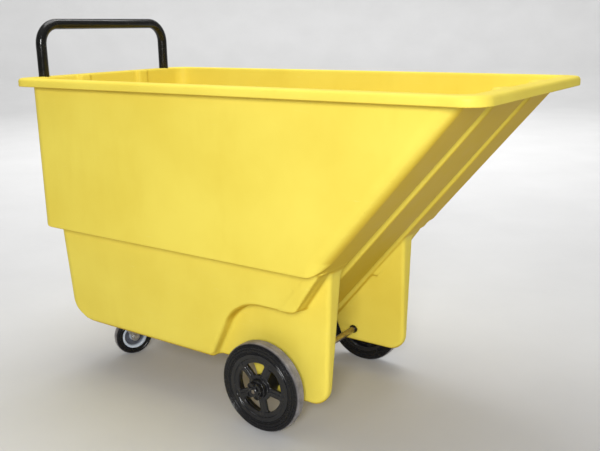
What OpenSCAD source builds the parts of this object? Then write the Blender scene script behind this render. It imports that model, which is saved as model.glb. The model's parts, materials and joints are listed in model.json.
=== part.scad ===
// Garden tub cart: one-piece moulded tub with two moulded legs, two large wheels on a plain
// axle under the sloped front, two swivel casters under the rear, and a bent tube handle.
// Frame: +X front (tipping lip), +Y left, +Z up. Origin on the floor below the middle of the rim.
// All sizes in millimetres.

/* [Tub] */
// overall length over the rim
cart_l = 1478; // [1200:1:1700]
// overall width over the rim
cart_w = 724; // [600:1:800]
// height of the top of the rim above the floor
rim_h = 932; // [800:1:1000]
// moulded wall thickness
wall = 6; // [4:0.5:9]
// outside width of the upper tub
tub_w = 666; // [560:1:740]
// outside face of the rear wall, from the origin
rear_x = -696; // [-780:1:-600]
// outside face of the front slope at rim height
slope_x = 701; // [600:1:760]
// angle of the front slope above the floor
slope_deg = 50; // [40:0.5:60]
// outside corner radius of the upper tub at the rear
tub_r = 45; // [20:1:80]
// rounding between the slope and the sides
slope_r = 40; // [15:1:60]
// height of the ledge where the tub steps in
step_z = 478; // [400:1:560]

/* [Rim] */
// depth of the turned-down lip
lip_d = 24; // [14:1:40]
// plan radius of the rim corners
rim_r = 60; // [30:1:90]
// radius of the rolled outer edge
lip_r = 10; // [7:0.5:14]

/* [Lower body] */
// outside width of the lower body at the ledge
low_w_top = 584; // [500:1:640]
// outside width of the lower body at its floor
low_w_bot = 536; // [480:1:600]
// outside face of the lower rear wall
low_rear_x = -678; // [-760:1:-560]
// underside of the floor above the ground
low_z = 158; // [120:1:220]
// radius between the lower rear wall and the floor
heel_r = 135; // [60:1:180]
// rounding along the lower side edges
low_r = 20; // [8:1:40]

/* [Stiffening grooves] */
// depth of the grooves in the slope
groove_d = 16; // [6:1:30]
// inner edge of each slope groove from the middle
groove_in = 118; // [60:1:180]
// outer edge at rim height
groove_top = 146; // [120:1:200]
// outer edge at the floor
groove_bot = 200; // [150:1:240]
// depth of the rear wall grooves
rear_groove_d = 14; // [6:1:24]

/* [Legs] */
// outside face of each leg from the middle
leg_y = 232; // [200:1:260]
// inside face of each leg at floor level (it leans in going up)
leg_in = 212; // [190:1:225]
// sideways lean of the inside face, as a ratio
leg_lean = 0.082; // [0:0.001:0.12]
// underside of the legs above the ground
leg_z = 87; // [60:1:120]
// front edge of the legs at floor level
leg_front = 289.5; // [240:0.5:330]
// how far the front edge moves forward per unit of height
leg_rake = 0.036; // [0:0.001:0.08]
// radius of the front lower corner of the legs
toe_r = 50; // [10:1:80]
// radius of the wheel arch
arch_r = 148; // [135:1:170]

/* [Wheels] */
// outside diameter of the large wheels
wheel_d = 254; // [200:1:300]
// tread width of the large wheels
wheel_w = 38; // [30:1:60]
// middle of the tread from the middle of the cart
wheel_y = 278; // [250:1:320]
// position of the axle along the cart
axle_x = 117; // [60:1:180]
// axle diameter
axle_d = 19; // [12:0.5:25]
// number of spokes
spokes = 5; // [3:1:8]

/* [Casters] */
// diameter of the caster wheels
caster_d = 127; // [75:1:150]
// width of the caster wheels
caster_w = 32; // [20:1:45]
// height of the mounting face above the ground
caster_h = 154; // [120:1:200]
// swivel axis along the cart
caster_x = -583; // [-660:1:-480]
// swivel axis from the middle
caster_y = 145; // [100:1:200]
// offset between the swivel axis and the wheel
trail = 40; // [20:1:60]
// direction the casters point at rest
swivel_deg = 65; // [0:1:359]

/* [Handle] */
// tube diameter
tube_d = 31.75; // [20:0.05:40]
// tube wall
tube_t = 1.65; // [1.2:0.05:3]
// post spacing from the middle
post_y = 258; // [200:1:300]
// tube centre line at the top of the handle
grip_z = 1087; // [1000:1:1200]
// lower end of the posts
post_z = 690; // [600:1:800]
// bend radius on the centre line
bend_r = 62; // [45:1:110]

/* [Hidden] */
$fn = 96;
eps = 0.01;
in_top = rim_h + 2;
post_x = rear_x - tube_d/2 - 0.15;
slope_t = tan(slope_deg);
slope_s = sin(slope_deg);
low_draft = atan((low_w_top - low_w_bot)/2/(step_z - low_z));
axle_z = wheel_d/2;
axle_r = axle_d/2;
axle_end = 321;
bolt_r = 4;
hole_r = 4.2;
bolt_levels = [735, 865];
plate_t = 3;
plate_x = 100;
plate_y = 80;
plate_bx = 76;
plate_by = 56;
pad_x = 62;
pad_y = 52;
// how far the strip beside each leg stands in front of the slope, along X
strip_f = 16;
hub_in = 250;
hub_out = 308;
bush_r = 12.7;
sleeve_r = 12.7;
sleeve_flange_r = 24;
// turn of the large wheels at rest
wheel_turn = 7;
fork_gap = 40;
cz = caster_d/2;
crown_z = 139;

// which sub-part to draw

// colours
yellow = [0.93, 0.82, 0.26];
black = [0.10, 0.10, 0.11];
steel = [0.72, 0.73, 0.75];
zinc = [0.80, 0.80, 0.78];
nylon = [0.90, 0.90, 0.86];
grey = [0.62, 0.66, 0.72];

// ---------- shared helpers ----------

// front face of the slope at height z, moved back by i along its normal
function slope_at(z, i = 0) = slope_x + (z - rim_h)/slope_t - i/slope_s;
// half width of the lower body at height z
function low_y(z) = low_w_bot/2 + (z - low_z)*tan(low_draft);
// inside and front faces of a leg at height z
function leg_in_at(z) = leg_in - leg_lean*z;
function leg_front_at(z) = leg_front + leg_rake*z;

// extrude an XZ outline across the cart between y0 and y1
module across(y0, y1) {
  translate([0, y1, 0]) rotate([90, 0, 0]) linear_extrude(height = y1 - y0) children();
}

// extrude a YZ outline along the cart between x0 and x1
module along(x0, x1) {
  translate([x0, 0, 0]) rotate([90, 0, 90]) linear_extrude(height = x1 - x0) children();
}

// draw for the left and the right side
module both_sides() {
  children();
  mirror([0, 1, 0]) children();
}

// rectangle with round corners, centred
module round_rect(l, w, r) {
  square([l - 2*r, w], center = true);
  square([l, w - 2*r], center = true);
  for (sx = [-1, 1]) for (sy = [-1, 1])
    translate([sx*(l/2 - r), sy*(w/2 - r)]) circle(r = r);
}

// disc or ring lying in the XY plane
module ring(r, ri, h) {
  difference() {
    cylinder(r = r, h = h);
    translate([0, 0, -1]) cylinder(r = ri, h = h + 2);
  }
}

// turn a shape built along +Z so that it runs along +Y
module to_y() {
  rotate([-90, 0, 0]) children();
}

// hexagon nut with a clear hole
module hex_nut(af, h, r) {
  difference() {
    cylinder(d = af/cos(30), h = h, $fn = 6);
    translate([0, 0, -1]) cylinder(r = r, h = h + 2);
  }
}

// ---------- tub ----------

// upper tub: vertical walls and round rear corners, open ended towards the slope
module upper(i) {
  top = i > 0 ? in_top : rim_h;
  translate([rear_x + i + cart_l, 0, step_z + i])
    linear_extrude(height = top - step_z - i) round_rect(2*cart_l, tub_w - 2*i, tub_r - i);
}

// everything behind the front slope, with round edges up the slope
module behind_slope(i) {
  translate([slope_x - i/slope_s, 0, rim_h]) rotate([0, 90 - slope_deg, 0])
    translate([-cart_l, 0, -2*cart_l])
      linear_extrude(height = 3*cart_l) round_rect(2*cart_l, tub_w - 2*i, slope_r - i);
}

// side outline of the lower body, inset by i
module lower_outline(i) {
  x0 = low_rear_x + i;
  z0 = low_z + i - 1;
  r = heel_r - i;
  top = step_z + i + 1;
  polygon([
    [x0, z0 + r],
    [x0 + r, z0],
    [slope_x, z0],
    [slope_x, top],
    [x0, top]
  ]);
  translate([x0 + r, z0 + r]) circle(r = r);
}

// end outline of the lower body: drafted sides and round lower edges
module lower_section(i) {
  z0 = low_z + i;
  r = low_r - i;
  top = step_z + i + 2;
  d = low_draft;
  inset = i/cos(d);
  yc = low_y(z0 + r) - inset - r/cos(d);
  corner = [for (k = [0:7]) [yc + r*sin(k*(90 - d)/7), z0 + r - r*cos(k*(90 - d)/7)]];
  side = concat(corner, [[low_y(top) - inset, top]]);
  polygon(concat(side, [for (k = [len(side) - 1:-1:0]) [-side[k][0], side[k][1]]]));
}

// rear corner rounding of one side of the lower body, leaning with the side
module lower_corner(i) {
  y0 = low_w_bot/2 - i/cos(low_draft) + 0.3;
  intersection() {
    translate([-cart_l, 0, 0]) cube([2*cart_l, cart_w, rim_h]);
    translate([0, y0, low_z]) rotate([-low_draft, 0, 0]) translate([0, -y0, -200])
      linear_extrude(height = rim_h)
        translate([low_rear_x + i + cart_l, 0]) round_rect(2*cart_l, 2*y0, tub_r - i);
  }
}

module lower(i) {
  intersection() {
    across(-cart_w/2, cart_w/2) lower_outline(i);
    along(-cart_l, cart_l) lower_section(i);
    both_sides() lower_corner(i);
  }
}

// proud strip of the lower body between the slope and each wheel arch, fading out under the ledge
module strip(i) {
  z0 = 330 + i;
  z1 = 448 + 0.45*i;
  z2 = 476 + i;
  f = strip_f - i/slope_s;
  intersection() {
    across(leg_in_at(400) + i, cart_w/2)
      polygon([
        [slope_at(z0) - 26, z0],
        [slope_at(z0) + f, z0],
        [slope_at(z1) + f, z1],
        [slope_at(z2, i) - 1 - i/3, z2],
        [slope_at(z2) - 26, z2]
      ]);
    along(-cart_l, cart_l) lower_section(i);
  }
}

// wheel arch recess on one side, grown by i
module arch(i) {
  across(leg_y - i, cart_w) {
    translate([axle_x, 206]) circle(r = arch_r + i);
    polygon([
      [axle_x - 185 - i, 60],
      [500, 60],
      [500, 206 + arch_r + i],
      [axle_x, 206 + arch_r + i],
      [axle_x, 206],
      [axle_x - arch_r - i - 3, 236],
      [axle_x - 185 - i, 170]
    ]);
  }
}

// groove up the slope on one side, grown by i
module groove(i) {
  cap = i > 0 ? in_top : rim_h - wall;
  z0 = -cart_l/slope_s;
  u = (rim_h - low_z)/slope_s;
  w = (groove_bot - groove_top)/u;
  intersection() {
    translate([slope_x, 0, rim_h]) rotate([0, 90 - slope_deg, 0]) translate([-groove_d - i, 0, 0])
      rotate([90, 0, 90])
        linear_extrude(height = groove_d + i + 30)
          polygon([
            [groove_in - i, z0],
            [groove_top - w*z0 + i, z0],
            [groove_top - w*60 + i, 60],
            [groove_in - i, 60]
          ]);
    translate([-cart_l, 0, 0]) cube([2*cart_l, cart_w, cap]);
  }
}

// groove down the rear wall on one side, grown by i
module rear_groove(i) {
  cap = i > 0 ? in_top : rim_h - wall;
  z0 = step_z + 26 - i;
  translate([rear_x - 1, 108 - i, z0]) cube([1 + rear_groove_d + i, 34 + 2*i, cap - z0]);
}

// side outline of a leg, inset by i
module leg_outline(i) {
  z0 = leg_z + i;
  r = toe_r - i;
  top = 463 + (i > 0 ? 1 : 0);
  xf = leg_front_at(z0 + r) - i;
  polygon([
    [68 + i, z0 + 12],
    [80 + i, z0],
    [xf - r, z0],
    [xf, z0 + r],
    [leg_front_at(top) - i, top],
    [slope_at(top) - 30, top],
    [slope_at(190) - 30, 190],
    [46 + i, 166],
    [46 + i, 158]
  ]);
  translate([xf - r, z0 + r]) circle(r = r);
  translate([80 + i, z0 + 12]) circle(r = 12);
}

// end outline of a leg, inset by i
module leg_section(i) {
  z0 = leg_z + i;
  r = 10 - i;
  y0 = leg_in_at(z0 + r) + i + r;
  y1 = leg_y - i - r;
  polygon([
    [y0, z0],
    [y1, z0],
    [y1 + r, z0 + r],
    [leg_y - i, 470],
    [leg_in_at(470) + i, 470],
    [y0 - r, z0 + r]
  ]);
  translate([y0, z0 + r]) circle(r = r);
  translate([y1, z0 + r]) circle(r = r);
}

module leg(i) {
  intersection() {
    across(100, 300) leg_outline(i);
    along(0, 500) leg_section(i);
  }
}

// flat landing for a caster plate on one side
module landing(i) {
  translate([caster_x - pad_x + i, caster_y - pad_y + i, caster_h + i])
    cube([2*pad_x - 2*i, 2*pad_y - 2*i, 212 - caster_h - i]);
}

// whole body inset by i: 0 gives the outside, wall gives the inside
module body(i) {
  difference() {
    union() {
      intersection() {
        union() {
          upper(i);
          lower(i);
        }
        behind_slope(i);
      }
      both_sides() strip(i);
    }
    both_sides() {
      arch(i);
      groove(i);
      rear_groove(i);
    }
  }
  both_sides() {
    leg(i);
    landing(i);
  }
}

// section of the rolled rim, measured outward from a corner centre
module rim_section() {
  c = rim_r - lip_r;
  translate([-1, -wall]) square([c + 1, wall]);
  translate([rim_r - wall, -lip_d + wall/2]) square([wall, lip_d - lip_r - wall/2]);
  translate([rim_r - wall/2, -lip_d + wall/2]) circle(r = wall/2);
  intersection() {
    translate([c, -lip_r]) square(lip_r);
    translate([c, -lip_r]) difference() {
      circle(r = lip_r);
      circle(r = lip_r - wall);
    }
  }
}

module rim() {
  cx = cart_l/2 - rim_r;
  cy = cart_w/2 - rim_r;
  translate([0, 0, rim_h]) {
    both_sides() translate([-cx, cy, 0]) rotate([90, 0, 90]) linear_extrude(height = 2*cx) rim_section();
    for (a = [0, 180]) rotate([0, 0, a])
      translate([cx, cy, 0]) rotate([90, 0, 0]) linear_extrude(height = 2*cy) rim_section();
    for (q = [[1, 1, 0], [-1, 1, 90], [-1, -1, 180], [1, -1, 270]])
      translate([q[0]*cx, q[1]*cy, 0]) rotate([0, 0, q[2]])
        rotate_extrude(angle = 90) intersection() {
          rim_section();
          translate([0, -100]) square([200, 200]);
        }
  }
}

// places every caster plate bolt
module at_plate_bolts() {
  both_sides() for (sx = [-1, 1]) for (sy = [-1, 1])
    translate([caster_x + sx*plate_bx/2, caster_y + sy*plate_by/2, 0]) children();
}

// places every handle bolt, +X pointing into the tub
module at_handle_bolts() {
  both_sides() for (z = bolt_levels) translate([post_x, post_y, z]) children();
}

module hopper() {
  color(yellow) difference() {
    union() {
      body(0);
      rim();
    }
    body(wall);
    both_sides() translate([post_x, post_y, rim_h - 60]) cylinder(d = tube_d + 0.5, h = 80);
    both_sides() translate([axle_x, 190, axle_z]) to_y() cylinder(r = sleeve_r + 0.05, h = 60);
    at_plate_bolts() translate([0, 0, caster_h - 5]) cylinder(r = hole_r, h = 20);
    at_handle_bolts() rotate([0, 90, 0]) cylinder(r = hole_r, h = 40);
  }
}

// ---------- handle ----------

module tube_path(r) {
  h = grip_z - bend_r - post_z;
  both_sides() {
    translate([post_x, post_y, post_z]) cylinder(r = r, h = h);
    translate([post_x, post_y - bend_r, grip_z - bend_r]) rotate([90, 0, 90])
      rotate_extrude(angle = 90) translate([bend_r, 0]) circle(r = r);
  }
  translate([post_x, -(post_y - bend_r), grip_z]) to_y() cylinder(r = r, h = 2*(post_y - bend_r));
}

module handle_tube() {
  color(black) difference() {
    tube_path(tube_d/2);
    tube_path(tube_d/2 - tube_t);
    both_sides() translate([post_x, post_y, post_z - 1]) cylinder(r = tube_d/2 - tube_t, h = 5);
    at_handle_bolts() translate([-40, 0, 0]) rotate([0, 90, 0]) cylinder(r = hole_r, h = 80);
  }
}

module tube_plugs() {
  color(black) both_sides() translate([post_x, post_y, post_z]) {
    translate([0, 0, -3]) cylinder(r = tube_d/2, h = 3);
    translate([0, 0, -eps]) cylinder(r = tube_d/2 - tube_t, h = 16);
  }
}

module handle_bolts() {
  len = tube_d + wall + 9.5;
  color(zinc) at_handle_bolts() translate([tube_d/2 + 0.15 + wall, 0, 0]) {
    rotate([0, 90, 0]) cylinder(r = 9.5, h = 2);
    translate([2, 0, 0]) rotate([0, 90, 0]) cylinder(r1 = 9.5, r2 = 5, h = 2.5);
    translate([-len, 0, 0]) rotate([0, 90, 0]) cylinder(r = bolt_r, h = len + eps);
  }
}

module handle_washers() {
  color(zinc) at_handle_bolts() translate([-tube_d/2 - 1.6, 0, 0]) rotate([0, 90, 0]) ring(8, hole_r, 1.6);
}

module handle_nuts() {
  color(zinc) at_handle_bolts() translate([-tube_d/2 - 1.6 - 6.5, 0, 0]) rotate([0, 90, 0])
    hex_nut(13, 6.5, bolt_r);
}

// ---------- axle and large wheels ----------

module axle() {
  color(steel) translate([axle_x, -axle_end, axle_z]) to_y() {
    translate([0, 0, 1.5]) cylinder(r = axle_r, h = 2*axle_end - 3);
    cylinder(r1 = axle_r - 1.5, r2 = axle_r, h = 1.5);
    translate([0, 0, 2*axle_end - 1.5]) cylinder(r1 = axle_r, r2 = axle_r - 1.5, h = 1.5);
  }
}

// flanged sleeve through both skins of a leg, right side drawn at +Y
module leg_sleeve() {
  color(black) translate([axle_x, 0, axle_z]) difference() {
    union() {
      translate([0, 198, 0]) to_y() cylinder(r = sleeve_r, h = leg_y - 198);
      translate([0, leg_y, 0]) to_y() cylinder(r = sleeve_flange_r, h = 3);
    }
    translate([0, 190, 0]) to_y() cylinder(r = axle_r + 0.1, h = 60);
  }
}

module leg_sleeve_left() leg_sleeve();
module leg_sleeve_right() mirror([0, 1, 0]) leg_sleeve();

module axle_spacer() {
  color(steel) translate([axle_x, leg_y + 3, axle_z]) to_y() ring(13, axle_r + 0.15, 12);
}

module axle_spacer_left() axle_spacer();
module axle_spacer_right() mirror([0, 1, 0]) axle_spacer();

module axle_washers() {
  color(zinc) both_sides() translate([axle_x, 0, axle_z]) {
    translate([0, leg_y + 15, 0]) to_y() ring(17, axle_r + 0.15, 2.5);
    translate([0, hub_out + 0.5, 0]) to_y() ring(17, axle_r + 0.15, 2);
  }
}

// four-lobed push-on cap that holds the wheel on, with a dished lobe at each corner
module axle_cap() {
  y0 = hub_out + 2.5;
  lobe_x = 15.5;
  color(black) translate([axle_x, y0, axle_z]) rotate([0, wheel_turn, 0]) difference() {
    union() {
      for (a = [45:90:315]) rotate([0, a, 0]) translate([lobe_x, 0, 0]) to_y() cylinder(r = 10.5, h = 9);
      to_y() cylinder(r = 16, h = 9.5);
      translate([0, 9, 0]) to_y() cylinder(r1 = 14, r2 = 10, h = 3.5);
    }
    translate([0, -1, 0]) to_y() cylinder(r = axle_r, h = axle_end - y0 + 1 + 0.2);
    translate([0, 9, 0]) to_y() cylinder(r = 6, h = 5);
    for (a = [45:90:315]) rotate([0, a, 0]) translate([lobe_x + 2, 6.5, 0]) to_y() cylinder(r = 6, h = 4);
  }
}

module axle_cap_left() axle_cap();
module axle_cap_right() mirror([0, 1, 0]) axle_cap();

// moulded wheel centre with spokes; local Z is the wheel axis outward, z = 0 in the middle of the tread
module wheel_centre() {
  h = wheel_w;
  rim_o = 96;
  rim_i = 84;
  web_z = 5;
  web_t = 10;
  z0 = hub_in - wheel_y;
  z1 = hub_out - wheel_y;
  difference() {
    union() {
      translate([0, 0, -h/2]) ring(rim_o, rim_i, h);
      translate([0, 0, web_z]) ring(rim_i + 1, 71, web_t);
      translate([0, 0, z0]) cylinder(r = 32, h = web_z + 2 - z0);
      translate([0, 0, web_z]) cylinder(r = 37, h = web_t);
      translate([0, 0, web_z + 1]) cylinder(r = 27, h = z1 - web_z - 1);
      for (k = [0:spokes - 1]) rotate([0, 0, k*360/spokes]) {
        translate([20, -12, web_z + 0.5]) cube([58, 24, web_t - 1]);
        translate([20, -3, -4]) cube([66, 6, 21]);
      }
    }
    translate([0, 0, z0 - 1]) cylinder(r = bush_r, h = z1 - z0 + 2);
    translate([0, 0, z0 - 1]) ring(27, 18, 22);
  }
}

// solid tyre with concentric sidewall ribs and a rounded tread
module tyre_section(r, ri, w) {
  s = 5;
  translate([ri, -w/2]) square([r - s - ri, w]);
  translate([ri, -w/2 + s]) square([r - ri, w - 2*s]);
  for (q = [-1, 1]) translate([r - s, q*(w/2 - s)]) circle(r = s);
}

module wheel_tyre() {
  r = wheel_d/2;
  difference() {
    rotate_extrude() tyre_section(r, 96, wheel_w);
    for (s = [-1, 1]) for (q = [[101, 2.5], [110, 2.2], [117, 1.6]])
      translate([0, 0, s*wheel_w/2]) rotate_extrude() translate([q[0], 0]) circle(r = q[1], $fn = 24);
    for (z = [-7, 7]) translate([0, 0, z]) rotate_extrude() translate([r, 0]) circle(r = 1.6, $fn = 24);
  }
}

// wheel bearing bush pressed into the hub
module wheel_bush() {
  translate([0, 0, hub_in - wheel_y]) ring(bush_r, axle_r + 0.05, hub_out - hub_in);
}

module at_wheel_left() {
  translate([axle_x, wheel_y, axle_z]) to_y() rotate([0, 0, wheel_turn]) children();
}

module at_wheel_right() {
  mirror([0, 1, 0]) at_wheel_left() children();
}

module wheel_hub_left() color(black) at_wheel_left() wheel_centre();
module wheel_hub_right() color(black) at_wheel_right() wheel_centre();
module wheel_tyre_left() color(black) at_wheel_left() wheel_tyre();
module wheel_tyre_right() color(black) at_wheel_right() wheel_tyre();
module wheel_bush_left() color(nylon) at_wheel_left() wheel_bush();
module wheel_bush_right() color(nylon) at_wheel_right() wheel_bush();

// ---------- casters ----------
// local frame: swivel axis on Z, floor at z = 0, wheel trailing toward +X

module at_caster_left() {
  translate([caster_x, caster_y, 0]) children();
}

module at_caster_right() {
  translate([caster_x, -caster_y, 0]) children();
}

// top plate with its pressed raceway cup
module caster_plate() {
  color(zinc) difference() {
    union() {
      translate([0, 0, caster_h - plate_t]) linear_extrude(height = plate_t) round_rect(plate_x, plate_y, 8);
      translate([0, 0, crown_z + 7]) cylinder(r = 27, h = caster_h - crown_z - 7 - plate_t + eps);
    }
    translate([0, 0, crown_z + 6]) cylinder(r = 5, h = 20);
    translate([0, 0, crown_z + 7]) rotate_extrude() translate([20, 0]) circle(r = 3.1, $fn = 32);
    for (sx = [-1, 1]) for (sy = [-1, 1])
      translate([sx*plate_bx/2, sy*plate_by/2, caster_h - plate_t - 1]) cylinder(r = hole_r, h = plate_t + 2);
  }
}

module caster_balls() {
  color(steel) for (k = [0:9]) rotate([0, 0, k*36]) translate([20, 0, crown_z + 6.5]) sphere(r = 3, $fn = 32);
}

// pin that ties the fork to the plate
module caster_kingpin() {
  color(steel) {
    translate([0, 0, crown_z - 4]) cylinder(r = 5, h = caster_h - crown_z + 4);
    translate([0, 0, crown_z - 5.3]) cylinder(r = 9, h = 5);
  }
}

// leg of the fork seen from the side
module fork_cheek() {
  polygon([
    [-16, crown_z + 3],
    [34, crown_z + 3],
    [trail + 14, cz + 6],
    [trail + 14, cz],
    [trail - 14, cz],
    [trail - 14, cz + 8],
    [-16, crown_z - 12]
  ]);
  translate([trail, cz]) circle(r = 14);
}

module caster_fork() {
  color(zinc) rotate([0, 0, swivel_deg]) difference() {
    union() {
      translate([9, 0, crown_z]) linear_extrude(height = 3) round_rect(50, fork_gap + 6, 3);
      translate([0, 0, crown_z]) cylinder(r = 27, h = 6);
      for (y = [-fork_gap/2 - 3, fork_gap/2]) across(y, y + 3) fork_cheek();
    }
    translate([0, 0, crown_z - 1]) cylinder(r = 5.1, h = 20);
    translate([0, 0, crown_z + 6]) rotate_extrude() translate([20, 0]) circle(r = 3.1, $fn = 32);
    translate([trail, -40, cz]) to_y() cylinder(r = 5, h = 80);
  }
}

module caster_bolt() {
  color(zinc) rotate([0, 0, swivel_deg]) translate([trail, 0, cz]) {
    translate([0, -fork_gap/2 - 3, 0]) to_y() cylinder(r = 5, h = fork_gap + 6 + 9);
    translate([0, -fork_gap/2 - 3 - 6, 0]) to_y() cylinder(d = 17/cos(30), h = 6, $fn = 6);
  }
}

module caster_nut() {
  color(zinc) rotate([0, 0, swivel_deg]) translate([trail, fork_gap/2 + 3, cz]) to_y() hex_nut(17, 8, 5);
}

// spanner bush clamped between the fork cheeks
module caster_bush() {
  color(steel) rotate([0, 0, swivel_deg]) translate([trail, -fork_gap/2, cz]) to_y() ring(8, 5, fork_gap);
}

module caster_core() {
  color(grey) rotate([0, 0, swivel_deg]) translate([trail, 0, cz]) rotate([-90, 0, 0]) difference() {
    union() {
      translate([0, 0, -caster_w/2]) ring(46, 38, caster_w);
      translate([0, 0, -5]) cylinder(r = 40, h = 10);
      translate([0, 0, -19.5]) cylinder(r = 15, h = 39);
    }
    translate([0, 0, -30]) cylinder(r = 8.06, h = 60);
  }
}

module caster_tyre() {
  color(black) rotate([0, 0, swivel_deg]) translate([trail, 0, cz]) rotate([-90, 0, 0])
    rotate_extrude() tyre_section(cz, 46, caster_w);
}

module caster_plate_left() at_caster_left() caster_plate();
module caster_plate_right() at_caster_right() caster_plate();
module caster_balls_left() at_caster_left() caster_balls();
module caster_balls_right() at_caster_right() caster_balls();
module caster_kingpin_left() at_caster_left() caster_kingpin();
module caster_kingpin_right() at_caster_right() caster_kingpin();
module caster_fork_left() at_caster_left() caster_fork();
module caster_fork_right() at_caster_right() caster_fork();
module caster_bolt_left() at_caster_left() caster_bolt();
module caster_bolt_right() at_caster_right() caster_bolt();
module caster_nut_left() at_caster_left() caster_nut();
module caster_nut_right() at_caster_right() caster_nut();
module caster_bush_left() at_caster_left() caster_bush();
module caster_bush_right() at_caster_right() caster_bush();
module caster_core_left() at_caster_left() caster_core();
module caster_core_right() at_caster_right() caster_core();
module caster_tyre_left() at_caster_left() caster_tyre();
module caster_tyre_right() at_caster_right() caster_tyre();

// bolts drop through the tub floor into the plates
module plate_bolts() {
  len = wall + plate_t + 11;
  color(zinc) at_plate_bolts() {
    translate([0, 0, caster_h + wall - len]) cylinder(r = bolt_r, h = len + eps);
    translate([0, 0, caster_h + wall]) cylinder(r = 9.5, h = 2);
    translate([0, 0, caster_h + wall + 2]) cylinder(r1 = 9.5, r2 = 5, h = 2.5);
  }
}

module plate_washers() {
  color(zinc) at_plate_bolts() translate([0, 0, caster_h - plate_t - 1.6]) ring(7.5, hole_r, 1.6);
}

module plate_nuts() {
  color(zinc) at_plate_bolts() translate([0, 0, caster_h - plate_t - 1.6 - 6.5]) hex_nut(13, 6.5, bolt_r);
}

// ---------- draw ----------

hopper();
handle_tube();
tube_plugs();
handle_bolts();
handle_washers();
handle_nuts();
axle();
leg_sleeve_right();
leg_sleeve_left();
axle_spacer_right();
axle_spacer_left();
axle_washers();
axle_cap_right();
axle_cap_left();
wheel_hub_right();
wheel_bush_right();
wheel_tyre_right();
wheel_hub_left();
wheel_bush_left();
wheel_tyre_left();
caster_plate_right();
caster_balls_right();
caster_kingpin_right();
caster_fork_right();
caster_bolt_right();
caster_nut_right();
caster_bush_right();
caster_core_right();
caster_tyre_right();
caster_plate_left();
caster_balls_left();
caster_kingpin_left();
caster_fork_left();
caster_bolt_left();
caster_nut_left();
caster_bush_left();
caster_core_left();
caster_tyre_left();
plate_bolts();
plate_washers();
plate_nuts();
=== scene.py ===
"""Garden tub cart: the moulded tub, wheels, casters and handle, dressed around the CAD frame.

Frame: +X towards the sloped front, +Y to the left, +Z up, floor at z = 0, metres throughout.
"""
import json
import math

import bmesh
import bpy
import numpy as np
import openvdb
from mathutils import Matrix, Vector


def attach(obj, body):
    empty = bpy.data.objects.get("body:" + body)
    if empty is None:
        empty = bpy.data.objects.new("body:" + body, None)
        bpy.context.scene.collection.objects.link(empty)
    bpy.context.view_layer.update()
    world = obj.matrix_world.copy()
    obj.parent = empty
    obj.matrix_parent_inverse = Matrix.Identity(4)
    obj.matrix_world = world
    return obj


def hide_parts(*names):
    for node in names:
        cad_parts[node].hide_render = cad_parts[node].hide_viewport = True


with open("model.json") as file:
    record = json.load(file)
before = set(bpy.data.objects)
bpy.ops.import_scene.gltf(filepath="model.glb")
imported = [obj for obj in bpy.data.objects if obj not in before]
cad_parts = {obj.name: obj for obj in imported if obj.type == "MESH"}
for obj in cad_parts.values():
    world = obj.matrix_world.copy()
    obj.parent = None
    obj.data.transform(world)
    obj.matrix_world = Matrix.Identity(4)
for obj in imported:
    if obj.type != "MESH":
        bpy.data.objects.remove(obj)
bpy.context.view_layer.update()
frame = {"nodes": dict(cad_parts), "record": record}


# ---------- distance fields ----------
# A field is a signed distance in metres, negative inside. All of them work on numpy arrays that
# broadcast against each other, so a flat outline stays cheap until it meets the third axis. The last
# argument of meet and join is the radius that rounds the edge or fills the corner.

def meet(a, b, r):
    """Intersection of two fields, with the shared edge rounded to radius r."""
    edge = np.hypot(np.maximum(a + r, 0), np.maximum(b + r, 0))
    return np.minimum(np.maximum(a, b), -r) + edge


def join(a, b, r):
    """Union of two fields, with a fillet of radius r where they meet."""
    edge = np.hypot(np.maximum(r - a, 0), np.maximum(r - b, 0))
    return np.maximum(np.minimum(a, b), r) - edge


def rounded_rect(x, y, half_x, half_y, r):
    """Field of an upright rectangle with round corners, centred on the origin."""
    qx = np.abs(x) - half_x + r
    qy = np.abs(y) - half_y + r
    return np.minimum(np.maximum(qx, qy), 0) + np.hypot(np.maximum(qx, 0), np.maximum(qy, 0)) - r


def slab(value, low, high):
    """Field of the space where value lies between low and high."""
    return np.maximum(low - value, value - high)


FLAT_MERGE = 0.008  # how readily the mesher merges faces that lie flat, from 0 to 1
BAND = 3            # voxels of distance that the mesher sees on each side of a surface


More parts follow.
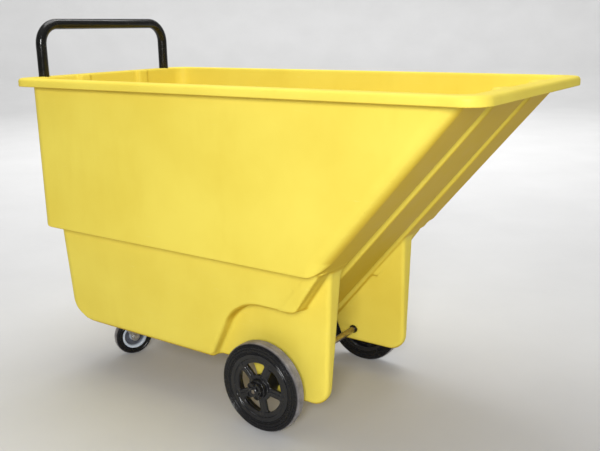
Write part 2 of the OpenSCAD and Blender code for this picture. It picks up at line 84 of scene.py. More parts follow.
def moulded(name, low, high, pitch, field, mirrored=False):
    """A smooth mesh of the surface where field(x, y, z) is zero, sampled every pitch.

    A mirrored piece is sampled on its +Y half only, from y = 0, and copied to the other side.
    """
    axes = [np.arange(a, b + pitch, pitch, dtype=np.float32) for a, b in zip(low, high)]
    x, y, z = np.meshgrid(*axes, indexing="ij", sparse=True)
    values = field(x, y, z).astype(np.float32)
    origin = [float(a[0]) for a in axes]
    if mirrored:
        origin[1] = -float(axes[1][-1])
        values = np.concatenate([values[:, :0:-1], values], axis=1)
    band = BAND * pitch
    grid = openvdb.FloatGrid(band)
    grid.copyFromArray(np.clip(values, -band, band), tolerance=0.0)
    grid.transform = openvdb.createLinearTransform(voxelSize=pitch)
    points, triangles, quads = grid.convertToPolygons(isovalue=0.0, adaptivity=FLAT_MERGE)
    points = points + np.array(origin, dtype=np.float32)
    corners = np.concatenate([quads[:, ::-1].ravel(), triangles[:, ::-1].ravel()])
    starts = np.concatenate([4 * np.arange(len(quads)), quads.size + 3 * np.arange(len(triangles))])
    mesh = bpy.data.meshes.new(name)
    mesh.vertices.add(len(points))
    mesh.vertices.foreach_set("co", points.ravel())
    mesh.loops.add(len(corners))
    mesh.loops.foreach_set("vertex_index", corners.astype(np.int32))
    mesh.polygons.add(len(starts))
    mesh.polygons.foreach_set("loop_start", starts.astype(np.int32))
    mesh.polygons.foreach_set("use_smooth", np.ones(len(starts), dtype=bool))
    mesh.update(calc_edges=True)
    mesh.validate()
    piece = bpy.data.objects.new(name, mesh)
    bpy.context.scene.collection.objects.link(piece)
    return piece


# ---------- tub ----------

LENGTH, WIDTH, RIM_Z = 1.478, 0.724, 0.932
WALL = 0.006
RIM_DROP = 0.024        # height of the rim's outer band
RIM_ROUND = 0.060       # plan radius of the rim's corners
REAR_X = -0.696         # outer face of the rear wall
SLOPE_X = 0.701         # where the sloped face meets the plane of the rim
SLOPE = math.radians(50)
TUB_HALF = 0.333        # half width of the upper tub
LEDGE_Z = 0.478         # the tub steps in below this height
CORNER_R = 0.045        # upright corners of the tub

LOW_REAR_X = -0.678
LOW_Z = 0.158           # underside of the tub
LOW_HALF = 0.268        # half width of the lower tub at its underside
LOW_DRAFT = 0.075       # how much wider it gets per metre of height
LOW_DRAFT_COS = 0.9972
HEEL_R = 0.135

GROOVE_IN = 0.105       # the two grooves down the slope: inner edge, outer edge and how it spreads
GROOVE_OUT, GROOVE_SPREAD = 0.146, 0.035
GROOVE_DEPTH = 0.019
GROOVE_DRAFT, GROOVE_DRAFT_COS = 0.7, 0.82
REAR_GROOVE_Y, REAR_GROOVE_HALF, REAR_GROOVE_DEPTH = 0.125, 0.017, 0.014
REAR_GROOVE_Z = 0.504   # lower end of the grooves in the rear wall

AXLE_X, AXLE_Z = 0.117, 0.127
SLEEVE_HOLE_R = 0.0127  # the hole for an axle sleeve, cut from SLEEVE_HOLE_Y outward
SLEEVE_HOLE_Y = 0.190
LEG_TOP, LEG_FOOT = 0.470, 0.087
LEG_Y = 0.232           # outer face of a leg, flush with the floor of the wheel arch
LEG_ROOT_Y = 0.262      # how far a leg reaches into the lower tub
LEG_IN_Y, LEG_IN_LEAN = 0.212, 0.082        # inner face at the floor, and its lean
LEG_FRONT_X, LEG_FRONT_LEAN = 0.2895, 0.036
LEG_REAR_X, LEG_REAR_Z, LEG_REAR_LEAN = 0.068, 0.099, 0.373
ARCH_Z, ARCH_R = 0.206, 0.148               # the round recess for a large wheel
ARCH_TOP = ARCH_Z + ARCH_R
FLARE_X, FLARE_Z, FLARE_TOP = -0.068, 0.170, 0.274
FLARE_LEAN = (-0.889, 0.458)                # outward direction of its straight rear edge
STRIP_Z, STRIP_HALF = 0.405, 0.075          # the strip of slope beside each leg
STRIP_IN, STRIP_DEPTH = 0.179, 0.03
STRIP_FADE = (0.345, 0.468)
STRIP_FRONT = (0.0123, -0.0030)

POST_X, POST_Y = -0.712, 0.258
POST_HOLE_R, POST_HOLE_Z = 0.0163, 0.900
CASTER_X, CASTER_Y = -0.583, 0.145
LANDING_X, LANDING_Y = 0.062, 0.052         # half sizes of the flat pad over a caster
LANDING_Z, LANDING_RISE = 0.184, 0.030
TUB_PITCH = 0.003
TUB_SAMPLED = ((-0.747, 0.0, 0.078), (0.747, 0.370, 0.940))


def slope_field(x, z):
    """Distance in front of the sloped face."""
    return (x - SLOPE_X) * math.sin(SLOPE) - (z - RIM_Z) * math.cos(SLOPE)


def strip_front(z):
    """How far the strip beside each leg stands in front of the slope: it fades out under the ledge."""
    return np.interp(z, STRIP_FADE, STRIP_FRONT).astype(np.float32)


def wheel_arch(x, z):
    """Outline of the recess round each large wheel, and of the gap in front of the slope."""
    circle = np.hypot(x - AXLE_X, z - ARCH_Z) - ARCH_R
    front = np.maximum(AXLE_X - x, z - ARCH_TOP)
    lean = FLARE_LEAN[0] * (x - FLARE_X) + FLARE_LEAN[1] * (z - FLARE_Z)
    flare = np.maximum(np.maximum(FLARE_X - x, lean), np.maximum(z - FLARE_TOP, x - AXLE_X))
    below_strip = np.maximum(strip_front(z) - slope_field(x, z), z - LEG_TOP)
    recess = np.minimum(np.minimum(circle, front), flare)
    return join(recess, below_strip, 0.012)


def leg_outline(x, z):
    """Side outline of a leg, whose front and rear both lean."""
    bottom = LEG_FOOT - z
    front = x - LEG_FRONT_X - LEG_FRONT_LEAN * z
    rear = LEG_REAR_X - LEG_REAR_LEAN * (z - LEG_REAR_Z) - x
    return np.maximum(np.maximum(meet(bottom, front, 0.050), meet(bottom, rear, 0.012)), z - LEG_TOP)


def low_side_field(y, z):
    """Distance outside the drafted side of the lower tub."""
    return (y - LOW_HALF - LOW_DRAFT * (z - LOW_Z)) * LOW_DRAFT_COS


def tub_body(x, y, z):
    """The tub's box above and below the ledge, cut off by the slope."""
    slope = slope_field(x, z)
    upper = meet(meet(y - TUB_HALF, REAR_X - x, CORNER_R), LEDGE_Z - z, 0.006)
    low_side = low_side_field(y, z)
    heel = meet(LOW_REAR_X - x, LOW_Z - z, HEEL_R)
    low_rear = meet(low_side, LOW_REAR_X - x, CORNER_R)
    lower = np.maximum(np.maximum(heel, low_rear), meet(low_side, LOW_Z - z, 0.020))
    edge = np.interp(z, [LEDGE_Z - 0.02, LEDGE_Z + 0.04], [0.014, 0.040]).astype(np.float32)
    return meet(join(upper, lower, 0.006), slope, edge)


def slope_groove(y, z, slope):
    """One of the two grooves down the slope, with drafted flanks."""
    outer = GROOVE_OUT + GROOVE_SPREAD * (RIM_Z - z) / (RIM_Z - LOW_Z)
    draft = GROOVE_DRAFT * np.clip(-slope, -0.005, 0.022)
    flanks = np.maximum(GROOVE_IN + draft - y, y + draft - outer) * GROOVE_DRAFT_COS
    return meet(-slope - GROOVE_DEPTH, flanks, 0.003)


def tub_outside(x, y, z):
    """Everything inside the outer surface of the tub and its legs, open upwards."""
    slope = slope_field(x, z)
    strip_faces = slab(slope, -STRIP_DEPTH, strip_front(z))
    strip = np.maximum(np.abs(z - STRIP_Z) - STRIP_HALF, strip_faces)
    strip = meet(strip, np.maximum(STRIP_IN - y, low_side_field(y, z)), 0.004)
    body = join(tub_body(x, y, z), strip, 0.006)
    leg = meet(leg_outline(x, z), LEG_IN_Y - LEG_IN_LEAN * z - y, 0.010)
    body = join(body, np.maximum(leg, y - LEG_ROOT_Y), 0.008)
    recess = join(-wheel_arch(x, z), y - LEG_Y, 0.010)
    body = meet(body, recess, 0.012)
    body = meet(body, -slope_groove(y, z, slope), 0.003)
    rear_sides = np.maximum(np.abs(y - REAR_GROOVE_Y) - REAR_GROOVE_HALF, REAR_GROOVE_Z - z)
    rear_groove = meet(x - REAR_X - REAR_GROOVE_DEPTH, rear_sides, 0.006)
    body = meet(body, -rear_groove, 0.008)
    landing = rounded_rect(x - CASTER_X, y - CASTER_Y, LANDING_X, LANDING_Y, 0.006)
    landing = meet(landing, np.abs(z - LANDING_Z) - LANDING_RISE, 0.004)
    return np.minimum(body, landing)


def tub_field(x, y, z):
    """The tub's skin, with its flanged rim, rolled lip and the holes for the handle and axle."""
    outside = tub_outside(x, y, z)
    edge = rounded_rect(x, y, LENGTH / 2, WIDTH / 2, RIM_ROUND)
    flange = np.maximum(meet(edge, z - RIM_Z, 0.010), RIM_Z - RIM_DROP - z)
    under = meet(edge + WALL, z - RIM_Z + WALL, 0.004)
    flange = meet(flange, -under, 0.002)
    walls = np.maximum(outside, z - RIM_Z + 0.003)
    solid = join(walls, flange, 0.006)
    skin = meet(solid, -outside - WALL, 0.0055)
    post = np.maximum(np.hypot(x - POST_X, y - POST_Y) - POST_HOLE_R, POST_HOLE_Z - z)
    skin = meet(skin, -post, 0.002)
    sleeve = np.maximum(np.hypot(x - AXLE_X, z - AXLE_Z) - SLEEVE_HOLE_R, SLEEVE_HOLE_Y - y)
    return np.maximum(skin, -sleeve)


def build_tub():
    """The moulded tub with its legs."""
    tub = moulded("tub_shell", *TUB_SAMPLED, TUB_PITCH, tub_field, mirrored=True)
    dress(tub, MATERIALS["yellow_plastic"], "hopper", "cart")


# ---------- turned pieces ----------

def rounded_path(corners, steps=6):
    """Points along a polyline of (radius, height, round) corners, each rounded to its own radius."""
    points = []
    for k, (r, h, bend) in enumerate(corners):
        here = np.array((r, h))
        if bend == 0 or k in (0, len(corners) - 1):
            points.append(here)
            continue
        to_last = np.array(corners[k - 1][:2]) - here
        to_next = np.array(corners[k + 1][:2]) - here
        a = to_last / np.linalg.norm(to_last)
        b = to_next / np.linalg.norm(to_next)
        half = math.acos(float(np.clip(a @ b, -1, 1))) / 2
        back = bend / math.tan(half)
        middle = here + (a + b) / np.linalg.norm(a + b) * bend / math.sin(half)
        start = here + a * back - middle
        end = here + b * back - middle
        sweep = math.atan2(start[0] * end[1] - start[1] * end[0], start @ end)
        for t in np.linspace(0, sweep, steps + 1):
            c, s = math.cos(t), math.sin(t)
            points.append(middle + np.array((c * start[0] - s * start[1], s * start[0] + c * start[1])))
    return points


def mirrored_profile(half):
    """A closed wheel profile from its upper half, given from the bore outward round to the tread."""
    return half + [(r, -h, bend) for r, h, bend in reversed(half)]


def turned(name, corners, centre, axis, segments):
    """A closed solid of revolution: corners go once round its section, in (radius, height, round)."""
    closed = [corners[-1]] + corners + [corners[0]]
    path = rounded_path(closed)[1:-1]
    rings = len(path)
    points = []
    for k in range(segments):
        turn = 2 * math.pi * k / segments
        points += [(p[0] * math.cos(turn), p[0] * math.sin(turn), p[1]) for p in path]
    faces = []
    for k in range(segments):
        here, there = k * rings, (k + 1) % segments * rings
        for j in range(rings):
            i = (j + 1) % rings
            faces.append((here + j, there + j, there + i, here + i))
    return finish_mesh(name, points, faces, centre, axis)


def finish_mesh(name, points, faces, centre=(0, 0, 0), axis=(0, 0, 1)):
    """A piece from points and faces whose local Z is turned to axis and whose origin is at centre."""
    mesh = bpy.data.meshes.new(name)
    mesh.from_pydata(points, [], faces)
    mesh.validate()
    mesh.polygons.foreach_set("use_smooth", np.ones(len(mesh.polygons), dtype=bool))
    piece = bpy.data.objects.new(name, mesh)
    bpy.context.scene.collection.objects.link(piece)
    turn = Vector((0, 0, 1)).rotation_difference(Vector(axis))
    piece.matrix_world = Matrix.Translation(centre) @ turn.to_matrix().to_4x4()
    fix_normals(mesh)
    return piece


def fix_normals(mesh):
    """Turn every face outward."""
    work = bmesh.new()
    work.from_mesh(mesh)
    bmesh.ops.recalc_face_normals(work, faces=work.faces)
    work.to_mesh(mesh)
    work.free()


def dress(piece, material, node_name, body):
    """Give a piece its material and its body, and hide the CAD node that it replaces."""
    piece.data.materials.clear()
    piece.data.materials.append(material)
    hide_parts(node_name)
    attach(piece, body)


# ---------- materials ----------

def add(tree, kind, inputs, **settings):
    """A new node. Settings name its properties; inputs hold values or other nodes' outputs."""
    made = tree.nodes.new(kind)
    for key, value in settings.items():
        setattr(made, key, value)
    for key, value in inputs.items():
        if isinstance(value, bpy.types.NodeSocket):
            tree.links.new(value, made.inputs[key])
        else:
            made.inputs[key].default_value = value
    return made


def noise(tree, where, scale, detail=3.0, roughness=0.55, stretch=(1, 1, 1)):
    """Noise from 0 to 1, with scale in features per metre."""
    spread = add(tree, "ShaderNodeMapping", {"Vector": where, "Scale": stretch})
    made = add(tree, "ShaderNodeTexNoise", {
        "Vector": spread.outputs[0], "Scale": scale, "Detail": detail, "Roughness": roughness,
    })
    return made.outputs["Fac"]


def ramp(tree, value, low, high, start=0.0, end=1.0):
    """Value remapped from low..high to start..end and held there outside that range."""
    made = add(tree, "ShaderNodeMapRange", {
        "Value": value, "From Min": low, "From Max": high, "To Min": start, "To Max": end,
    }, clamp=True)
    return made.outputs[0]


def blend_colour(tree, factor, first, second):
    """The first colour at factor 0, the second at factor 1."""
    made = add(tree, "ShaderNodeMix", {}, data_type="RGBA")
    for socket, value in ((made.inputs[0], factor), (made.inputs[6], first), (made.inputs[7], second)):
        if isinstance(value, bpy.types.NodeSocket):
            tree.links.new(value, socket)
        elif isinstance(value, tuple):
            socket.default_value = (*value, 1.0)
        else:
            socket.default_value = value
    return made.outputs[2]


def add_values(tree, first, second, kind="ADD"):
    """Two values added, or combined by another kind of sum."""
    return add(tree, "ShaderNodeMath", {0: first, 1: second}, operation=kind).outputs[0]


def bump(tree, height, depth, below=None):
    """A bump of the given depth in metres, stacked on another one if below is given."""
    inputs = {"Height": height, "Strength": 1.0, "Distance": depth}
    if below is not None:
        inputs["Normal"] = below
    return add(tree, "ShaderNodeBump", inputs).outputs[0]


def start_material(name, **constants):
    """A material with its shader's plain values set, its node tree and its object coordinates."""
    material = bpy.data.materials.new(name)
    material.use_nodes = True
    tree = material.node_tree
    shader = tree.nodes["Principled BSDF"]
    for key, value in constants.items():
        shader.inputs[key.replace("_", " ")].default_value = value
    where = add(tree, "ShaderNodeTexCoord", {}).outputs["Object"]
    return material, tree, shader, where


def finish_material(tree, shader, colour, roughness, normal):
    """Link what the nodes drive to the shader."""
    tree.links.new(colour, shader.inputs["Base Color"])
    tree.links.new(roughness, shader.inputs["Roughness"])
    tree.links.new(normal, shader.inputs["Normal"])


def yellow_plastic():
    """Satin moulded polyethylene: cloudy pigment, orange peel, faint scuffs and rubbed edges."""
    material, tree, shader, where = start_material(
        "yellow_moulded_plastic", Specular_IOR_Level=0.0, Coat_Weight=0.32, Coat_IOR=1.4)
    cloud = ramp(tree, noise(tree, where, 3.5, 4.0), 0.35, 0.65)
    colour = blend_colour(tree, cloud, (0.82, 0.655, 0.088), (0.87, 0.715, 0.108))
    streak = noise(tree, where, 9.0, 5.0, 0.6, (1.0, 1.0, 0.25))
    colour = blend_colour(tree, ramp(tree, streak, 0.52, 0.75, 0.0, 0.35), colour, (0.77, 0.595, 0.072))
    speck = noise(tree, where, 520.0, 2.0)
    colour = blend_colour(tree, ramp(tree, speck, 0.62, 0.72, 0.0, 0.18), colour, (0.93, 0.77, 0.16))
    scratch = noise(tree, where, 60.0, 6.0, 0.75, (0.25, 1.0, 2.2))
    scuffed = noise(tree, where, 5.0, 2.0)
    scuff = add_values(tree, ramp(tree, scratch, 0.60, 0.68), ramp(tree, scuffed, 0.48, 0.62), "MULTIPLY")
    colour = blend_colour(tree, add_values(tree, scuff, 0.22, "MULTIPLY"), colour, (0.95, 0.84, 0.33))
    # Outer corners are rubbed pale, inner corners get painted crease shade with some grime, and faces that
    # look down get painted shade, a darker orange.
    geometry = add(tree, "ShaderNodeNewGeometry", {})
    point = geometry.outputs["Pointiness"]
    rubbed = ramp(tree, point, 0.53, 0.62)
    colour = blend_colour(tree, add_values(tree, rubbed, 0.35, "MULTIPLY"), colour, (0.96, 0.83, 0.26))
    # Painted shade: concave corners are darkened brown, standing in for occlusion, along with some grime.
    crease_shade_and_grime = ramp(tree, point, 0.47, 0.40)
    colour = blend_colour(tree, add_values(tree, crease_shade_and_grime, 0.30, "MULTIPLY"), colour, (0.50, 0.33, 0.05))
    # Painted shade: faces that look down are painted a darker, warmer orange for the shade and yellow
    # bounce they receive.
    upward = add(tree, "ShaderNodeSeparateXYZ", {0: geometry.outputs["Normal"]}).outputs[2]
    under = ramp(tree, upward, -0.40, -0.62, 0.0, 0.78)
    colour = blend_colour(tree, under, colour, (0.62, 0.395, 0.022))
    rough = ramp(tree, noise(tree, where, 14.0, 5.0), 0.3, 0.7, 0.36, 0.48)
    rough = add_values(tree, rough, add_values(tree, scuff, 0.18, "MULTIPLY"))
    peel = bump(tree, noise(tree, where, 420.0, 2.0, 0.4), 0.00010)
    waves = bump(tree, noise(tree, where, 11.0, 2.0, 0.4), 0.0016, peel)
    normal = bump(tree, scratch, 0.00006, waves)
    tree.links.new(rough, shader.inputs["Coat Roughness"])
    tree.links.new(normal, shader.inputs["Coat Normal"])
    finish_material(tree, shader, colour, rough, normal)
    return material


def axis_distance(tree, where):
    """Distance from the local Z axis."""
    flat = add(tree, "ShaderNodeVectorMath", {0: where, 1: (1, 1, 0)}, operation="MULTIPLY").outputs[0]
    return add(tree, "ShaderNodeVectorMath", {0: flat}, operation="LENGTH").outputs["Value"]


def black_rubber(name, tread_from):
    """Rubber whose outermost surface, beyond the radius tread_from, is worn grey and dusty."""
    material, tree, shader, where = start_material(name, IOR=1.36)
    worn = ramp(tree, axis_distance(tree, where), tread_from - 0.002, tread_from + 0.001)
    patch = ramp(tree, noise(tree, where, 38.0, 5.0, 0.65), 0.30, 0.70, 0.45, 1.0)
    dust = ramp(tree, noise(tree, where, 70.0, 5.0, 0.7), 0.50, 0.78, 0.0, 0.35)
    colour = blend_colour(tree, dust, (0.007, 0.007, 0.008), (0.014, 0.014, 0.015))
    colour = blend_colour(tree, add_values(tree, worn, patch, "MULTIPLY"), colour, (0.33, 0.31, 0.315))
    rough = ramp(tree, noise(tree, where, 120.0, 4.0), 0.3, 0.7, 0.20, 0.30)
    rough = add_values(tree, rough, add_values(tree, worn, 0.15, "MULTIPLY"))
    grain = bump(tree, noise(tree, where, 900.0, 3.0), 0.00012)
    nicks = bump(tree, noise(tree, where, 180.0, 4.0, 0.7), 0.00030, grain)
    finish_material(tree, shader, colour, rough, nicks)
    return material


def plastic(name, dark, light, gloss, shaded_from=0.0, shaded_to=0.0):
    """Moulded plastic with a fine grain, flow marks and light handling wear.

    Between the radii given as the last two arguments, round the piece's own axis, it is painted dark:
    painted shade for a dished recess.
    """
    material, tree, shader, where = start_material(name, IOR=1.47)
    flow = ramp(tree, noise(tree, where, 26.0, 5.0, 0.6, (1.0, 1.0, 0.4)), 0.35, 0.70)
    colour = blend_colour(tree, flow, dark, light)
    worn = ramp(tree, add(tree, "ShaderNodeNewGeometry", {}).outputs["Pointiness"], 0.54, 0.66, 0.0, 0.30)
    colour = blend_colour(tree, worn, colour, tuple(min(1.0, 1.6 * c + 0.05) for c in light))
    if shaded_to > 0:
        # Painted shade: the dish between the two radii is darkened, standing in for the shade under the
        # tub.
        radius = axis_distance(tree, where)
        inner = ramp(tree, radius, shaded_from, shaded_from + 0.0015)
        outer = ramp(tree, radius, shaded_to, shaded_to - 0.0015, 0.0, 0.92)
        painted_recess_shade = add_values(tree, inner, outer, "MULTIPLY")
        colour = blend_colour(tree, painted_recess_shade, colour, (0.030, 0.033, 0.050))
    rough = ramp(tree, noise(tree, where, 90.0, 5.0, 0.65), 0.3, 0.7, gloss, gloss + 0.14)
    fine = bump(tree, noise(tree, where, 1100.0, 2.0), 0.00008)
    finish_material(tree, shader, colour, rough, bump(tree, noise(tree, where, 60.0, 2.0), 0.0002, fine))
    return material


def gloss_paint():
    """Thick black powder coat with orange peel, dust and small chips through to the steel."""
    material, tree, shader, where = start_material("black_powder_coat", IOR=1.3, Coat_Weight=0.25)
    shader.inputs["Coat Roughness"].default_value = 0.06
    mottled = ramp(tree, noise(tree, where, 45.0, 4.0), 0.35, 0.70)
    colour = blend_colour(tree, mottled, (0.006, 0.006, 0.006), (0.012, 0.012, 0.011))
    chip = ramp(tree, noise(tree, where, 170.0, 3.0, 0.6), 0.735, 0.750)
    colour = blend_colour(tree, chip, colour, (0.30, 0.28, 0.26))
    rough = ramp(tree, noise(tree, where, 30.0, 6.0, 0.7), 0.35, 0.70, 0.13, 0.30)
    peel = bump(tree, noise(tree, where, 330.0, 1.0, 0.3), 0.00012)
    finish_material(tree, shader, colour, rough, peel)
    return material


def metal(name, bright, dull, smooth, rough_to, stained, stretch=(1, 1, 1)):
    """Bare or plated steel with uneven dulling, fine drawn lines and a few stains."""
    material, tree, shader, where = start_material(name, Metallic=1.0)
    patch = ramp(tree, noise(tree, where, 75.0, 6.0, 0.65), 0.32, 0.68)
    colour = blend_colour(tree, patch, bright, dull)
    stain = ramp(tree, noise(tree, where, 33.0, 5.0, 0.7), 0.56, 0.74, 0.0, stained)
    colour = blend_colour(tree, stain, colour, (0.21, 0.13, 0.075))
    lines = noise(tree, where, 420.0, 3.0, 0.6, stretch)
    rough = ramp(tree, add_values(tree, lines, patch, "MULTIPLY"), 0.1, 0.6, smooth, rough_to)
    finish_material(tree, shader, colour, rough, bump(tree, lines, 0.00004))
    return material


MATERIALS = {
    "yellow_plastic": yellow_plastic(),
    "black_paint": gloss_paint(),
    "black_plastic": plastic("black_moulded_plastic", (0.007, 0.007, 0.008), (0.014, 0.014, 0.015), 0.09),
    # The grey caster core carries painted shade in its dish between these two radii.
    "grey_plastic": plastic("grey_moulded_plastic", (0.46, 0.53, 0.63), (0.60, 0.66, 0.75), 0.24,
                           shaded_from=0.0155, shaded_to=0.0335),
    "nylon": plastic("natural_nylon", (0.62, 0.60, 0.52), (0.76, 0.74, 0.66), 0.30),
    "plain_steel": metal("drawn_steel", (0.46, 0.40, 0.33), (0.30, 0.24, 0.18), 0.28, 0.50,
                         stained=0.75, stretch=(1, 0.06, 1)),
    "zinc_plate": metal("zinc_plate", (0.66, 0.66, 0.64), (0.46, 0.46, 0.45), 0.26, 0.46, stained=0.25),
}

TYRE_RUBBER = {
    "large": black_rubber("wheel_rubber", 0.1255),
    "caster": black_rubber("caster_rubber", 0.0625),
}


# ---------- large wheels ----------

# Wheel profiles are the outer half of a section, in (radius, height above its middle, round).

WHEEL_Y = 0.278
WHEEL_SEGMENTS = 160
SPOKES = 5
WHEEL_TURN = math.radians(7)
HUB_RIM_R, HUB_RIM_HALF, HUB_RIM_WIDTH = 0.090, 0.006, 0.019
WEB_RING_R, WEB_RING_HALF = 0.078, 0.007
WEB_Z = (0.005, 0.015)          # the web lies towards the outer side of the wheel
SPOKE_Z = (0.0055, 0.0145)
SPOKE_HALF, SPOKE_SPAN = 0.012, (0.020, 0.078)
RIB_HALF, RIB_SPAN, RIB_Z = 0.003, (0.020, 0.086), (-0.004, 0.017)
DISC_R = 0.037
COLLAR_R, COLLAR_Z = 0.027, (0.006, 0.030)
BOSS_R, BOSS_Z = 0.032, (-0.028, 0.007)
BOSS_HOLLOW_R, BOSS_HOLLOW_HALF, BOSS_HOLLOW_Z = 0.0225, 0.0045, -0.007
HUB_BORE_R = 0.0127
HUB_PITCH = 0.0011
HUB_SAMPLED = ((-0.0985, -0.0985, -0.0295), (0.0985, 0.0985, 0.0315))


def hub_field(x, y, z):
    """Moulded wheel centre: rim, web with five windows, ribs and boss; z is the axle, outward."""
    r = np.hypot(x, y)
    turn = 2 * math.pi / SPOKES
    angle = np.arctan2(y, x)
    off_spoke = np.abs(angle - turn * np.round(angle / turn))
    beside = r * np.sin(off_spoke)
    along = r * np.cos(off_spoke)
    rim = meet(np.abs(r - HUB_RIM_R) - HUB_RIM_HALF, np.abs(z) - HUB_RIM_WIDTH, 0.0018)
    web_ring = meet(np.abs(r - WEB_RING_R) - WEB_RING_HALF, slab(z, *WEB_Z), 0.002)
    wheel = join(rim, web_ring, 0.003)
    spoke = np.maximum(beside - SPOKE_HALF, slab(along, *SPOKE_SPAN))
    wheel = join(wheel, meet(spoke, slab(z, *SPOKE_Z), 0.0025), 0.006)
    rib = meet(beside - RIB_HALF, slab(z, *RIB_Z), 0.0014)
    wheel = join(wheel, np.maximum(rib, slab(along, *RIB_SPAN)), 0.002)
    wheel = join(wheel, meet(r - DISC_R, slab(z, *WEB_Z), 0.002), 0.003)
    collar = meet(r - COLLAR_R, slab(z, *COLLAR_Z), 0.0025)
    boss = meet(r - BOSS_R, slab(z, *BOSS_Z), 0.002)
    hollow = np.maximum(np.abs(r - BOSS_HOLLOW_R) - BOSS_HOLLOW_HALF, z - BOSS_HOLLOW_Z)
    wheel = join(wheel, join(collar, np.maximum(boss, -hollow), 0.002), 0.003)
    return meet(wheel, HUB_BORE_R - r, 0.001)


TYRE = [
    (0.0960, 0.0000, 0), (0.0960, 0.0172, 0.0006), (0.0985, 0.0186, 0.0010), (0.1003, 0.0168, 0.0006),
    (0.1022, 0.0168, 0.0006), (0.1036, 0.0189, 0.0008), (0.1085, 0.0190, 0.0004), (0.1094, 0.0176, 0.0004),
    (0.1108, 0.0176, 0.0004), (0.1117, 0.0189, 0.0004), (0.1160, 0.0187, 0.0004), (0.1167, 0.0174, 0.0003),
    (0.1178, 0.0174, 0.0003), (0.1186, 0.0184, 0.0005), (0.1235, 0.0166, 0.0040), (0.1268, 0.0118, 0.0030),
    (0.1270, 0.0083, 0.0010), (0.1270, 0.0080, 0.0003), (0.1256, 0.0074, 0.0004), (0.1256, 0.0066, 0.0004),
    (0.1270, 0.0060, 0.0003), (0.1270, 0.0010, 0),
]


def build_wheel(side, outward, pattern):
    """One large wheel: its tyre and its moulded centre."""
    centre = (AXLE_X, outward * WHEEL_Y, AXLE_Z)
    axis = (0, outward, 0)
    tyre = turned(f"tyre_{side}", mirrored_profile(TYRE), centre, axis, WHEEL_SEGMENTS)
    dress(tyre, TYRE_RUBBER["large"], f"wheel_tyre_{side}", f"wheel_{side}")
    hub = bpy.data.objects.new(f"wheel_centre_{side}", pattern.data.copy())
    bpy.context.scene.collection.objects.link(hub)
    hub.matrix_world = tyre.matrix_world @ Matrix.Rotation(outward * WHEEL_TURN, 4, "Z")
    dress(hub, MATERIALS["black_plastic"], f"wheel_hub_{side}", f"wheel_{side}")


def build_wheels():
    """Both large wheels, whose centres are copies of one pattern."""
    pattern = moulded("wheel_pattern", *HUB_SAMPLED, HUB_PITCH, hub_field)
    for side, outward in (("right", -1), ("left", 1)):
        build_wheel(side, outward, pattern)
    bpy.data.objects.remove(pattern)


# ---------- casters ----------

CASTER_R = 0.0635
TRAIL = 0.040                   # from the kingpin to the wheel's axle
SWIVEL = math.radians(65)       # direction of the trail at rest
CASTER_SEGMENTS = 96
CASTER_CORE = [
    (0.0081, 0.0000, 0), (0.0081, 0.0195, 0.0005), (0.0145, 0.0195, 0.0012), (0.0155, 0.0060, 0.0030),
    (0.0320, 0.0048, 0.0030), (0.0340, 0.0150, 0.0012), (0.0360, 0.0160, 0.0010), (0.0415, 0.0160, 0.0008),
    (0.0415, 0.0000, 0),
]
CASTER_TYRE = [
    (0.0415, 0.0000, 0), (0.0415, 0.0150, 0.0006), (0.0445, 0.0160, 0.0008), (0.0490, 0.0160, 0.0005),
    (0.0505, 0.0150, 0.0005), (0.0520, 0.0150, 0.0005), (0.0535, 0.0160, 0.0008), (0.0585, 0.0150, 0.0060),
    (0.0625, 0.0105, 0.0040), (0.0635, 0.0050, 0.0020), (0.0635, 0.0010, 0),
]


def build_caster_wheel(side, across):
    """The core and tyre of one caster wheel."""
    lead = Vector((math.cos(SWIVEL), math.sin(SWIVEL), 0))
    centre = Vector((CASTER_X, across * CASTER_Y, CASTER_R)) + TRAIL * lead
    axis = (-math.sin(SWIVEL), math.cos(SWIVEL), 0)
    body = f"caster_wheel_{side}"
    core = turned(f"caster_centre_{side}", mirrored_profile(CASTER_CORE), centre, axis, CASTER_SEGMENTS)
    dress(core, MATERIALS["grey_plastic"], f"caster_core_{side}", body)
    tyre = turned(f"caster_tread_{side}", mirrored_profile(CASTER_TYRE), centre, axis, CASTER_SEGMENTS)
    dress(tyre, TYRE_RUBBER["caster"], f"caster_tyre_{side}", body)


# ---------- handle ----------

TUBE_R = 0.015875
POST_FOOT = 0.690       # lower end of the posts
GRIP_Z = 1.087          # middle of the grip
BEND_R = 0.062


def swept_tube(name, path, radius, sides=40):
    """A closed round tube along a path of points that lies in a plane of constant x."""
    points = []
    for k, here in enumerate(path):
        ahead = path[min(k + 1, len(path) - 1)] - path[max(k - 1, 0)]
        across = Vector((1, 0, 0))
        other = ahead.normalized().cross(across)
        for j in range(sides):
            turn = 2 * math.pi * j / sides
            points.append(here + radius * (math.cos(turn) * across + math.sin(turn) * other))
    faces = []
    for k in range(len(path) - 1):
        for j in range(sides):
            i = (j + 1) % sides
            faces.append((k * sides + j, k * sides + i, (k + 1) * sides + i, (k + 1) * sides + j))
    faces.append(tuple(range(sides)))
    faces.append(tuple(range(len(points) - sides, len(points))))
    return finish_mesh(name, points, faces)


def build_handle():
    """The bent tube: up one post, across the grip and down the other."""
    half = [Vector((POST_X, POST_Y, z)) for z in np.linspace(POST_FOOT, GRIP_Z - BEND_R, 12)]
    for turn in np.linspace(0, math.pi / 2, 17)[1:]:
        y = POST_Y - BEND_R + BEND_R * math.cos(turn)
        half.append(Vector((POST_X, y, GRIP_Z - BEND_R + BEND_R * math.sin(turn))))
    path = half + [Vector((p.x, -p.y, p.z)) for p in reversed(half)]
    handle = swept_tube("handle_bar", path, TUBE_R)
    dress(handle, MATERIALS["black_paint"], "handle_tube", "cart")


# ---------- hardware that keeps its CAD shape ----------

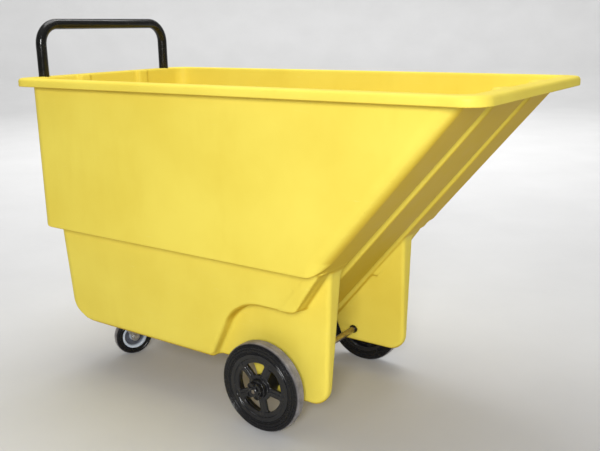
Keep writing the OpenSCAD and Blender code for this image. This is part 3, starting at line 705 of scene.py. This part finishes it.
def finish_hardware():
    """Soft edges and a real finish on every CAD node that is still showing."""
    slots = {part["node"]: part["material_slot"] for part in frame["record"]["subparts"]}
    for name, part in frame["nodes"].items():
        if part.hide_render:
            continue
        for index in range(len(part.material_slots)):
            part.material_slots[index].material = MATERIALS[slots[name]]
        weld = part.modifiers.new("weld", "WELD")
        weld.merge_threshold = 0.00001
        edges = part.modifiers.new("soft_edges", "BEVEL")
        edges.width = 0.0005
        edges.segments = 2
        edges.limit_method = "ANGLE"
        edges.angle_limit = math.radians(35)
        edges.harden_normals = False


# ---------- camera, floor and light ----------

def build_camera():
    """The photographer's place: in front of the near side, a little above the rim."""
    data = bpy.data.cameras.new("camera")
    data.lens = 45.85
    data.sensor_width = 36.0
    camera = bpy.data.objects.new("camera", data)
    bpy.context.scene.collection.objects.link(camera)
    place = Vector((1.287, -1.7744, 1.0648))
    aim = Vector((0.0548, 0.0, 0.5060))
    turn = (aim - place).to_track_quat("-Z", "Y").to_matrix().to_4x4()
    roll = Matrix.Rotation(math.radians(-0.87), 4, "Z")
    camera.matrix_world = Matrix.Translation(place) @ turn @ roll
    bpy.context.scene.camera = camera


FLOOR_PROFILE = [(0, 0), (4, 0), (9, 0), (11, 0.4), (12, 1.4), (12.3, 4.0), (12.3, 9.0)]
FLOOR_SIDES = 64


def build_floor():
    """A pale floor that curves up far behind the cart."""
    points = []
    faces = []
    for k, (reach, height) in enumerate(FLOOR_PROFILE):
        ring = FLOOR_SIDES * k
        for j in range(FLOOR_SIDES):
            turn = 2 * math.pi * j / FLOOR_SIDES
            points.append((reach * math.cos(turn), reach * math.sin(turn), height))
            if k > 0:
                i = (j + 1) % FLOOR_SIDES
                faces.append((ring - FLOOR_SIDES + j, ring - FLOOR_SIDES + i, ring + i, ring + j))
    floor = finish_mesh("floor", points, faces)
    material, tree, shader, where = start_material("pale_floor")
    shade = ramp(tree, noise(tree, where, 2.0, 4.0), 0.3, 0.7)
    colour = blend_colour(tree, shade, (0.57, 0.57, 0.57), (0.60, 0.60, 0.60))
    rough = ramp(tree, noise(tree, where, 30.0, 3.0), 0.3, 0.7, 0.75, 0.85)
    finish_material(tree, shader, colour, rough, bump(tree, noise(tree, where, 200.0, 2.0), 0.0001))
    floor.data.materials.append(material)


def area_light(name, place, aim, size, power):
    """A white rectangular lamp at place that shines towards aim."""
    data = bpy.data.lights.new(name, "AREA")
    data.shape = "RECTANGLE"
    data.size, data.size_y = size
    data.energy = power
    light = bpy.data.objects.new(name, data)
    bpy.context.scene.collection.objects.link(light)
    light.location = place
    light.rotation_euler = (Vector(aim) - Vector(place)).to_track_quat("-Z", "Y").to_euler()


def build_light():
    """A pale surround, a key from the front of the near side, a top light and one on the backdrop."""
    world = bpy.data.worlds.new("studio")
    bpy.context.scene.world = world
    world.use_nodes = True
    background = world.node_tree.nodes["Background"]
    background.inputs["Color"].default_value = (1.0, 1.0, 1.0, 1.0)
    background.inputs["Strength"].default_value = 0.36
    area_light("key", (2.0, -3.2, 1.8), (0.2, 0, 0.55), (1.0, 1.0), 114)
    area_light("top", (-0.5, 0.2, 3.4), (-0.1, 0, 0.7), (2.2, 2.0), 58)
    area_light("backdrop", (-2.0, 3.2, 6.0), (-6.0, 9.0, 0.0), (6.0, 4.0), 750)
    bpy.context.scene.view_settings.view_transform = "Standard"


build_camera()
build_floor()
build_light()
build_tub()
build_wheels()
for caster_side, caster_across in (("right", -1), ("left", 1)):
    build_caster_wheel(caster_side, caster_across)
build_handle()
finish_hardware()
